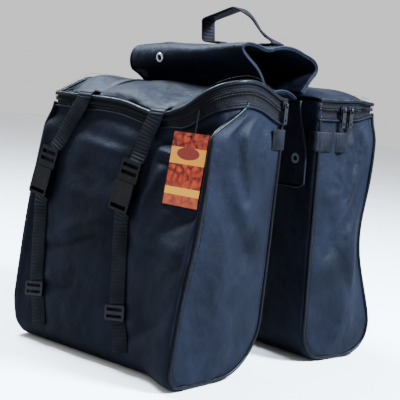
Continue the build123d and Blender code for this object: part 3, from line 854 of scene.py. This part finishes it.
def zip_half(bag, label, low, high, coil_z, body, lean):
    tape = cloth(f"{bag.name}_{label}_tape", tape_rows(bag, low, high, 1.2), 1.0)
    dress(tape, TAPE, body, "zip_tape", f"{bag.name}_{label}")
    path = rim_path(bag, 1.0, coil_z, 1.9)
    teeth = []
    for p, n in zip(path, rim_normals(bag, path)):
        upright = (UP + n * 0.1 * lean).normalized()
        teeth.append(pill_data(p + n * 0.7, upright, n.cross(UP), n, (3.0, 1.25, 2.4)))
    row = merged(f"{bag.name}_{label}_coil", teeth)
    dress(row, TEETH, body, "zip_tape")
    welt = rim_path(bag, -0.2, (low if lean < 0 else high) + lean * 0.4, 1.0)
    rows = []
    for drop in (3.4, 6.4):
        line = rim_path(bag, -0.4, (low if lean < 0 else high) - lean * drop, 1.0)
        rows += stitch_data(line, rim_normals(bag, line), 3.0, 2.0, 0.6)
    stitches = merged(f"{bag.name}_{label}_stitches", rows)
    dress(stitches, THREADS, body, "zip_tape")
    fold = tube(f"{bag.name}_{label}_welt", resample(welt, 2.6), 1.5, 8)
    dress(fold, NYLON, body, "nylon")


# ---- the lid ------------------------------------------------------------------------
def lid_height(bag, x, u):
    """Top of the lid's crown above the lid plane."""
    across = max(0.0, 1 - ((u - 55) / 70) ** 2) ** 0.5 if abs(u - 55) < 70 else 0.0
    along = max(0.0, 1 - abs(x / (HALF + 3)) ** 3.2) ** 0.5 if abs(x) < HALF + 3 else 0.0
    tied = max(bell(x, over_x(bag, s), 17) for s in STRAP_AT) * smooth(u, 40, 112)
    slack = mix(1.0, 0.4, smooth(-x, 20, 120)) if bag.side < 0 else 1.0
    rise = 5 + 13.5 * across * along * slack * smooth(u, -12, 45)
    return rise - 2.2 * tied + 1.3 * lumps(x, u, bag.phase, 48, 5.5) - 1.1 * bell(u, 40 + x * 0.1, 14)


def lid_pad(bag):
    """A closed, crowned pad with its free edge following the zip."""
    rings, spokes = 26, 190
    plan = []
    for i in range(spokes):
        share = i / spokes
        if share < 0.74:
            x, u = rim_plan(bag, mix(-RIM_END, RIM_END, share / 0.74), 3.0)
        else:
            x, u = mix(HALF - 3, -(HALF - 3), (share - 0.74) / 0.26), 1.5
        plan.append((x, u))
    mid_x, mid_u = 0.0, 56.0
    points, faces = [], []
    for k in range(rings):
        share = (k + 1) / rings
        for x0, u0 in plan:
            x, u = mix(mid_x, x0, share), mix(mid_u, u0, share)
            full = (1 - share ** 6) ** 0.5
            points.append(bag.at(x, u, LID_Z + lid_height(bag, x, u) * full))
    top_centre = len(points)
    points.append(bag.at(mid_x, mid_u, LID_Z + lid_height(bag, mid_x, mid_u)))
    low_start = len(points)
    for k in range(rings):
        share = (k + 1) / rings
        for x0, u0 in plan:
            x, u = mix(mid_x, x0, share), mix(mid_u, u0, share)
            points.append(bag.at(x, u, LID_Z - 0.2 + 1.4 * (1 - share)))
    low_centre = len(points)
    points.append(bag.at(mid_x, mid_u, LID_Z + 1.0))
    faces += grid_faces(rings, spokes, 0, wrap=True)
    faces += [tuple(reversed(f)) for f in grid_faces(rings, spokes, low_start, wrap=True)]
    for i in range(spokes):
        j = (i + 1) % spokes
        faces += [(top_centre, i, j), (low_centre, low_start + j, low_start + i)]
        outer, under = (rings - 1) * spokes, low_start + (rings - 1) * spokes
        faces.append((outer + i, under + i, under + j, outer + j))
    pad = mesh_of(f"{bag.name}_lid_pad", points, faces)
    tidy_normals(pad)
    return pad


def inflate(pad, cap):
    """Blow the pad up a little as cloth, never moving a point further than cap."""
    modifier = pad.modifiers.new("remesh", "REMESH")
    modifier.mode = "VOXEL"
    modifier.voxel_size = 4.5 * MM
    applied(pad)
    rest = np.array([v.co for v in pad.data.vertices], float)
    sim = pad.modifiers.new("cloth", "CLOTH")
    sim.settings.use_pressure = True
    sim.settings.uniform_pressure_force = 4.0
    sim.settings.effector_weights.gravity = 0.0
    sim.point_cache.frame_start = 1
    sim.point_cache.frame_end = 14
    scene = bpy.context.scene
    for step in range(1, 15):
        scene.frame_set(step)
    evaluated = pad.evaluated_get(bpy.context.evaluated_depsgraph_get())
    moved = np.array([v.co for v in evaluated.data.vertices], float)
    shift = moved - rest
    length = np.maximum(np.linalg.norm(shift, axis=1, keepdims=True), 1e-9)
    shift *= np.minimum(1.0, cap / length)
    pad.modifiers.remove(sim)
    pad.data.vertices.foreach_set("co", (rest + shift).astype(np.float32).ravel())
    scene.frame_set(1)
    surface = pad.modifiers.new("smooth", "SUBSURF")
    surface.levels = surface.render_levels = 1
    applied(pad)
    pad.data.shade_smooth()


def applied(piece):
    """Bake every modifier of a piece into its mesh."""
    evaluated = piece.evaluated_get(bpy.context.evaluated_depsgraph_get())
    baked = bpy.data.meshes.new_from_object(evaluated)
    piece.modifiers.clear()
    piece.data = baked


def bag_lid(bag):
    body = f"{bag.name}_lid"
    pad = lid_pad(bag)
    inflate(pad, 2.2 * MM)
    dress(pad, NYLON, body, "nylon", f"{bag.name}_lid_cover", f"{bag.name}_lid_foam")
    edge = rim_path(bag, 0.6, LID_Z + 2.6, 2.5)
    cord = tube(f"{bag.name}_lid_edge_cord", edge, 2.5, 10)
    dress(cord, PIPING, body, "piping", f"{bag.name}_lid_piping")
    line = rim_path(bag, 5.2, LID_Z + 9.6, 1.0)
    tilted = [n.lerp(UP, .6).normalized() for n in rim_normals(bag, line)]
    stitches = merged(f"{bag.name}_lid_stitches", stitch_data(line, tilted, 3.4, 2.3, 0.6))
    dress(stitches, THREADS, body, "nylon")


# ---- straps -------------------------------------------------------------------------
def strap_over_lid(bag, x_at):
    """Path and side directions of one strap from the lid's rear to its buckle plug."""
    path = []
    edge_x = over_x(bag, x_at)
    for u in spaced(16, 108, 16):
        path.append(bag.at(edge_x, u, LID_Z + lid_height(bag, edge_x, u) + 1.2))
    path.append(bag.at(edge_x, 118, LID_Z + 11.5))
    path.append(bag.at(edge_x, 125.5, LID_Z + 5.0))
    path.append(bag.at(edge_x, 126.8, LID_Z - 6.0))
    for drop in (10, 22, 36, 50, 62):
        place = bag.on_face(strap_x(bag, x_at, drop), drop, 2.4)
        if place.z < path[-1].z - 6:
            path.append(place)
    path.append(bag.on_face(x_at - 12, PLUG_TOP, 5.2))
    path = resample(rounded(path, 2), 0.75)
    return path, [bag.along] * len(path)


def strap_down_face(bag, x_at, doubled):
    lift = 3.2 if doubled else 1.3
    top = BUCKLE_DROP + 33
    foot = GLIDE_DROP + 3 if doubled else BODY_HEIGHT - max(18.0, bends(bag)[1] - 8)
    path = []
    for drop in spaced(top, foot, 14):
        x = strap_x(bag, x_at, drop)
        rise = lift + (3.4 * (1 - smooth(drop, top, top + 14)) if doubled else 0)
        path.append(bag.on_face(x, drop, rise))
    path = resample(rounded(path, 2), 0.75)
    return path, [bag.along] * len(path)


def bag_straps(bag):
    upper, lower = [], []
    for x_at in STRAP_AT:
        upper.append(band_data(*strap_over_lid(bag, x_at), WEBBING, 1.7, 0.6, 4.6))
        lower.append(band_data(*strap_down_face(bag, x_at, False), WEBBING, 1.7, 0.6, 4.6))
        lower.append(band_data(*strap_down_face(bag, x_at, True), WEBBING, 1.7, 0.6, 4.6))
    over = merged(f"{bag.name}_lid_webbing", upper)
    dress(over, WEBS, f"{bag.name}_lid", "webbing", f"{bag.name}_upper_straps")
    down = merged(f"{bag.name}_face_webbing", lower)
    dress(down, WEBS, bag.bags_body(), "webbing", f"{bag.name}_lower_straps")


def bag_binding(bag):
    """The short webbing band round each inner upright seam."""
    parts, rows = [], []
    for end in (-1, 1):
        path = [bag.flat(end * 134, -1.1, 300.5), bag.flat(end * 149.5, -1.1, 300.5),
                bag.flat(end * 151.4, 4, 300.5)]
        for u in spaced(12, 57 if bag.side > 0 else 28, 7):
            share = (u - wall_inner(300) - EDGE) / 80
            x = side_point(bag, end, min(1, max(0.0, share)), 300.5)
            proud = abs((x - bag.flat(0, 0, 0)).dot(bag.along)) + 1.3
            path.append(bag.flat(end * proud, u, 300.5))
        path = resample(rounded(path, 2), 0.8)
        parts.append(band_data(path, [UP] * len(path), 26, 1.7, 0.4, 4.6))
        for z in (290.5, 310.5):
            line = [p + UP * (z - 300.5) + bag.along * (end * 0.9) for p in path[18:]]
            rows += stitch_data(line, [bag.along * end] * len(line), 3.2, 2.2, 0.6)
    made = merged(f"{bag.name}_seam_webbing", parts)
    dress(made, WEBS, bag.bags_body(), "webbing", f"{bag.name}_side_webbing")
    stitches = merged(f"{bag.name}_seam_webbing_stitches", rows)
    dress(stitches, THREADS, bag.bags_body(), "webbing")


# ---- the yoke -----------------------------------------------------------------------
def arch_section(x):
    """The arch across the pair at a station: near half then far half, as (y, z) points."""
    t = (x + YOKE_HALF) / (2 * YOKE_HALF)
    near = [(mix(-44, -36, t), mix(358, 362, t)), (mix(-62, -50, t), mix(370, 383, t)),
            (mix(-77, -78, t), mix(375, 398, t)), (mix(-80, -89, t), mix(392, 409, t)),
            (mix(-72, -80, t), mix(406, 417, t)), (mix(-52, -58, t), mix(409, 417, t)),
            (mix(-38, -36, t), mix(411, 412, t))]
    far = [(mix(36, 34, t), mix(411, 413, t)), (mix(52, 49, t), mix(408, 409, t)),
           (mix(68, 61, t), mix(403, 404, t)), (mix(76, 67, t), mix(395, 396, t)),
           (mix(74, 65, t), mix(387, 387, t)), (mix(60, 55, t), mix(379, 379, t)),
           (mix(42, 40, t), mix(359, 360, t))]
    crown = [(-24, mix(413, 415.5, t)), (-8, mix(416.6, 418.6, t)), (8, mix(416.6, 418.6, t)),
             (24, mix(413, 416, t))]
    return near, crown, far


def arch_line(x):
    near, crown, far = arch_section(x)
    line = [Vector((x, y, z)) for y, z in near + crown + far]
    return resample(rounded(line, 3), 2.6)


ARCH_COUNT = 120


def arch_rows():
    rows = []
    for x in spaced(-YOKE_HALF - 3, YOKE_HALF + 3, 72):
        line = arch_line(x)
        flat = np.array([tuple(p) for p in line])
        at = np.linspace(0, len(line) - 1, ARCH_COUNT)
        row = [Vector([np.interp(a, range(len(line)), flat[:, k]) for k in range(3)]) for a in at]
        for p in row:
            loose = smooth(abs(p.y), 20, 50)
            wave = math.sin(p.x / 21 + p.y / 30)
            p.z += 1.6 * loose * lumps(p.x, p.y, p.z, 55, 6.6) + 1.0 * loose * wave
            p.y += 2.4 * loose * lumps(p.x, p.z, p.y, 60, 9.1)
        rows.append(row)
    return rows


def bound_edge(name, path, body, radius=1.2):
    made = tube(name, resample(path, 3), radius, 8)
    # The bound edges wear the binding, whose lighter tone is a painted highlight along them.
    return dress(made, BINDING_WITH_PAINTED_HIGHLIGHT, body, "nylon")


def bent_at_lid(piece):
    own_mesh(piece)


def yoke():
    rows = arch_rows()
    split = [next(i for i, p in enumerate(rows[35]) if p.y > -25),
             next(i for i, p in enumerate(rows[35]) if p.y > 25)]
    spans = {
        "near": (0, split[0] + 1),
        "crown": (split[0], split[1] + 1),
        "far": (split[1], ARCH_COUNT),
    }
    for label, (low, high) in spans.items():
        part = [row[low:high] for row in rows]
        made = cloth(f"yoke_{label}_cloth", part, 4.0, outward=UP)
        node = {"near": "yoke_flank_right", "crown": "yoke_crown", "far": "yoke_flank_left"}[label]
        dress(made, NYLON, "yoke", "nylon", node)
        # across and area are read off the modelled sheet, and area is capped at the cut's
        pieces = []
        for end, k in (("fore", -1), ("aft", 0)):
            pieces.append(bound_edge(f"yoke_{label}_{end}_edge", part[k], "yoke"))
        rows_of = []
        for k in (5, -6):
            line = resample(part[k], 1.1)
            frames = frames_along(line)
            ups = [Vector((1, 0, 0)).cross(f[0]).normalized() for f in frames]
            ups = [-v if v.z < 0 and abs(v.z) > abs(v.y) * 0.2 else v for v in ups]
            rows_of += stitch_data([p + n * 0.5 for p, n in zip(line, ups)], ups, 3.6, 2.4, 0.6)
        stitches = merged(f"yoke_{label}_stitches", rows_of)
        pieces.append(dress(stitches, THREADS, "yoke", "nylon"))
        if label != "crown":
            for piece in [made, *pieces]:
                bent_at_lid(piece)


def bridge():
    """The web between the bags: a sheet that sags between its two hinge seams."""
    right, left = BAGS
    rows = []
    for x in spaced(-YOKE_HALF - 2, YOKE_HALF + 4, 54):
        a, b = right.flat(x, -1.5, 353), left.flat(x, -1.5, 353)
        row = []
        for share in spaced(0, 1, 22):
            p = a.lerp(b, share)
            p.x = x - 5.4
            p.z = 353 + 9.0 * math.sin(math.pi * share) ** 0.8 + 1.5 * lumps(p.x, p.y, 0, 34, 3.0)
            row.append(p)
        rows.append(row)
    web = cloth("yoke_bridge_cloth", rows, 3.6, outward=UP)
    dress(web, NYLON, "yoke", "nylon", "yoke_bridge")
    for end, k in (("fore", -1), ("aft", 0)):
        bound_edge(f"yoke_bridge_{end}_edge", rows[k], "yoke")


def tail(bag):
    """The yoke's tail, sewn down the tunnel side of the inner wall, bound on its three edges."""
    def half_width(drop):
        return mix(120, 138, smooth(drop, 0, 76))

    def place(x, drop):
        u = wall_inner(HINGE_WALL_Z - FLAP_TOP_DROP - drop)
        ripple = 1.0 * smooth(drop, 20, 100) * math.sin(x / 19) * smooth(abs(x), 40, 120)
        return bag.flat(x, u - 3.1 - max(0.0, ripple), HINGE_WALL_Z - FLAP_TOP_DROP + 6 - drop)

    rows = []
    for drop in spaced(0, 114, 30):
        row = []
        for share in spaced(-1, 1, 70):
            corner = 9 * max(0.0, abs(share) - 0.93) / 0.07 if drop > 112 else 0
            row.append(place(share * half_width(drop), drop - corner * 0.6))
        rows.append(row)
    flap = cloth(f"{bag.name}_tail_cloth", rows, 2.6, outward=-bag.out)
    dress(flap, NYLON, bag.bags_body(), "nylon", f"{bag.name}_yoke_flap")
    rim = [row[0] for row in rows] + rows[-1][1:-1] + [row[-1] for row in reversed(rows)]
    shift = -bag.out * 1.2
    bound_edge(f"{bag.name}_tail_edge", [p + shift for p in rim], bag.bags_body(), 1.3)


def grip():
    """The webbing handle, sewn down at its feet and standing in a loose bow."""
    low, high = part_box("handle")
    foot = low.z / MM + 1.6
    rise = (high.z - low.z) / MM - 4
    left, right = -32.0, 91.0
    path = [Vector((x, 0, foot + share * rise)) for x, share in (
        (left + 24, -0.07), (left + 6, -0.06), (left - 5, -0.03), (left - 6, 0.12), (left - 8, 0.5),
        (left - 9, 0.66), (left - 2, 0.73), (left + 20, 0.88), (left + 44, 1.06), (left + 50, 1.05),
        (left + 62, 0.92), (left + 78, 0.68), (right - 33, 0.36), (right - 19, 0.18), (right - 5, 0.05),
        (right + 2, -0.04), (right - 12, -0.07), (right - 24, -0.07),
    )]
    path = resample(rounded(path, 2), 0.8)
    across = []
    for i in range(len(path)):
        twist = bell(i / len(path), 0.71, 0.13)
        across.append(Vector((-0.25 * twist, 1.0, -0.5 * twist)).normalized())
    verts = band_data(path, across, WEBBING, 2.6, 0.4, 4.6)
    loop = mesh_of("handle_webbing", *verts)
    tidy_normals(loop)
    wear(loop, WEBS)
    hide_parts("handle", "handle_feet")
    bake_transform(loop)
    rows = []
    for middle in (left + 13, right - 13):
        ring = [Vector((middle + sx * 9, sy * 9, foot - 1.2)) for sx, sy in
                ((-1, -1), (1, -1), (1, 1), (-1, 1), (-1, -1), (1, 1))]
        line = resample(ring, 1.0)
        rows += stitch_data(line, [UP] * len(line), 2.8, 2.0, 0.6)
    stitches = merged("handle_foot_stitches", rows)
    dress(stitches, THREADS, "yoke", "webbing")


def snap_rings():
    """Eyelet rings on the upright faces of the yoke's two flanks."""
    for side, label in ((-1, "near"), (1, "far")):
        line = arch_line(-44)
        k = min(
            range(2, len(line) - 2),
            key=lambda i: abs(line[i].z - 391) + 100 * (line[i].y * side < 60),
        )
        along = (line[k + 1] - line[k - 1]).normalized()
        out = Vector((1, 0, 0)).cross(along)
        if out.y * side < 0:
            out = -out
        ring = []
        for i in range(28):
            turn = i * math.tau / 28
            spoke = Vector((1, 0, 0)) * (5 * math.cos(turn)) + along * (5 * math.sin(turn))
            ring.append(line[k] + out * 1.6 + spoke)
        made = tube(f"flank_{label}_ring", ring, 1.7, 10, closed=True)
        dress(made, BRIGHT, "yoke", "bright_metal", "flank_snaps")
        bent_at_lid(made)


# ---- the tag ------------------------------------------------------------------------
def tag_print(bag):
    """Generic print: leaf-like blotches on an orange card with two pale panels."""
    paint = Paint("tag_card")
    middle = bag.on_face(112, 34 + 39, 0) * MM
    up = dotted(paint, bag.face_up, middle.dot(bag.face_up))
    side = dotted(paint, bag.along, middle.dot(bag.along))
    spots = paint.nodes.new("ShaderNodeTexVoronoi")
    spots.feature = "DISTANCE_TO_EDGE"
    spots.inputs["Scale"].default_value = 95
    paint.link(paint.place, spots.inputs["Vector"])
    veins = paint.ramp(spots.outputs["Distance"], (0.03, (0.035, 0.002, 0.001)),
                       (0.16, (0.26, 0.016, 0.005)), (0.4, (0.42, 0.045, 0.01)))
    swirl = paint.ramp(paint.noise(150, 3), (0.4, (0.06, 0.003, 0.002)), (0.62, (0.42, 0.05, 0.012)))
    card = blended(paint, paint.spread(paint.noise(60, 2), 0.2, 0.7), veins, swirl)
    gradient = paint.maths("MULTIPLY", paint.maths("SUBTRACT", -0.012, up), 11.0)
    warm = paint.maths("MINIMUM", paint.maths("MAXIMUM", gradient, 0.0), 0.25)
    card = blended(paint, warm, card, (0.5, 0.12, 0.05))
    panel = within(paint, up, 0.006, 0.026)
    card = blended(paint, panel, card, (0.55, 0.2, 0.016))
    off_middle = paint.maths("POWER", paint.maths("SUBTRACT", up, 0.019), 2.0)
    lozenge = paint.maths("ADD", paint.maths("MULTIPLY", side, side),
                          paint.maths("MULTIPLY", off_middle, 5.5))
    card = blended(paint, paint.maths("LESS_THAN", lozenge, 0.00032), card, (0.15, 0.015, 0.01))
    lower = within(paint, up, -0.031, -0.022)
    card = blended(paint, lower, card, (0.6, 0.26, 0.02))
    paint.link(card, paint.shader.inputs["Base Color"])
    paint.link(paint.spread(paint.noise(220, 3), 0.3, 0.42), paint.shader.inputs["Roughness"])
    paint.set(Coat_Weight=0.05, Coat_Roughness=0.2, Specular_IOR_Level=0.2)
    paint.bump((paint.noise(70, 3), 0.1, 0.0006),)
    return paint.material


# ---- stage, light and camera --------------------------------------------------------
CAMERA_AZIMUTH = math.radians(44.4)
CAMERA_ELEVATION = math.radians(6.4)
CAMERA_ROLL = math.radians(5.3)
CAMERA_DISTANCE = 1422.8
CAMERA_LENS = 90.8
CAMERA_TARGET = Vector((-24.7, 0, 199.2))


def make_camera():
    camera = bpy.data.objects.new("camera", bpy.data.cameras.new("camera"))
    bpy.context.scene.collection.objects.link(camera)
    a, e, roll = CAMERA_AZIMUTH, CAMERA_ELEVATION, CAMERA_ROLL
    forward = Vector((-math.sin(a) * math.cos(e), math.cos(a) * math.cos(e), -math.sin(e)))
    right = forward.cross(UP).normalized()
    up = right.cross(forward)
    turned_right = right * math.cos(roll) + up * math.sin(roll)
    turned_up = up * math.cos(roll) - right * math.sin(roll)
    matrix = camera.matrix_world.copy()
    for k, axis in enumerate((turned_right, turned_up, -forward)):
        for row in range(3):
            matrix[row][k] = axis[row]
    place = (CAMERA_TARGET - forward * CAMERA_DISTANCE) * MM
    for row in range(3):
        matrix[row][3] = place[row]
    camera.matrix_world = matrix
    camera.data.sensor_width = 36
    camera.data.lens = CAMERA_LENS
    camera.data.clip_start, camera.data.clip_end = 0.05, 50
    bpy.context.scene.camera = camera


def area_light(name, place, target, size, power, colour=(1, 1, 1)):
    data = bpy.data.lights.new(name, "AREA")
    data.shape = "RECTANGLE"
    data.size, data.size_y = size
    data.energy = power
    data.color = colour
    lamp = bpy.data.objects.new(name, data)
    lamp.location = place
    lamp.rotation_euler = (Vector(target) - Vector(place)).to_track_quat("-Z", "Y").to_euler()
    bpy.context.scene.collection.objects.link(lamp)


def make_stage():
    size = 6000
    corners = [(x * size, y * size, -0.3) for x, y in ((-1, -1), (1, -1), (1, 1), (-1, 1))]
    floor = mesh_of("floor", corners, [(0, 1, 2, 3)])
    # the camera sees a pale floor, and the bags get a weaker bounce from it
    paint = Paint("floor")
    pale = paint.ramp(paint.noise(3, 2), (0.3, (0.86, 0.86, 0.87)), (0.7, (0.9, 0.9, 0.9)))
    seen = paint.nodes.new("ShaderNodeLightPath").outputs["Is Camera Ray"]
    paint.link(blended(paint, seen, (0.3, 0.3, 0.32), pale), paint.shader.inputs["Base Color"])
    paint.set(Roughness=0.6)
    wear(floor, paint.material)
    world = bpy.data.worlds.new("studio")
    world.use_nodes = True
    world.node_tree.nodes["Background"].inputs["Color"].default_value = (1, 1, 1, 1)
    world.node_tree.nodes["Background"].inputs["Strength"].default_value = 0.9
    bpy.context.scene.world = world
    aim = (0, 0, 0.2)
    area_light("key", (1.3, 0.5, 1.45), aim, (0.45, 0.45), 400, (0.66, 0.82, 1.0))
    area_light("top", (-1.0, -0.15, 2.0), aim, (0.9, 0.9), 330, (0.68, 0.83, 1.0))
    area_light("front", (-0.9, -2.6, 0.9), aim, (1.0, 0.8), 5)


# ---- build --------------------------------------------------------------------------
BAGS = (Bag("right", -1), Bag("left", 1))

make_camera()
make_stage()
for bag in BAGS:
    bag_walls(bag)
    bag_piping(bag)
    zip_half(bag, "zip_lower_half", BODY_HEIGHT - 3, ZIP_Z - 0.6, ZIP_Z - 1.4, bag.bags_body(), -1)
    zip_half(bag, "zip_upper_half", ZIP_Z + 0.6, LID_Z + 1, ZIP_Z + 1.4, f"{bag.name}_lid", 1)
    bag_lid(bag)
    bag_straps(bag)
    bag_binding(bag)
    tail(bag)
    for label in ("buckle_sockets", "buckle_plug_1", "buckle_plug_2", "tri_glides"):
        wear(frame["nodes"][f"{bag.name}_{label}"], PLASTIC)
    for label in ("zip_slider", "zip_pull"):
        for number in (1, 2):
            wear(frame["nodes"][f"{bag.name}_{label}_{number}"], DARK)
    wear(frame["nodes"][f"{bag.name}_flap_eyelets"], BRIGHT)
yoke()
bridge()
grip()
snap_rings()
wear(frame["nodes"]["hang_tag"], tag_print(BAGS[0]))
wear(frame["nodes"]["tag_fastener"], TIE)
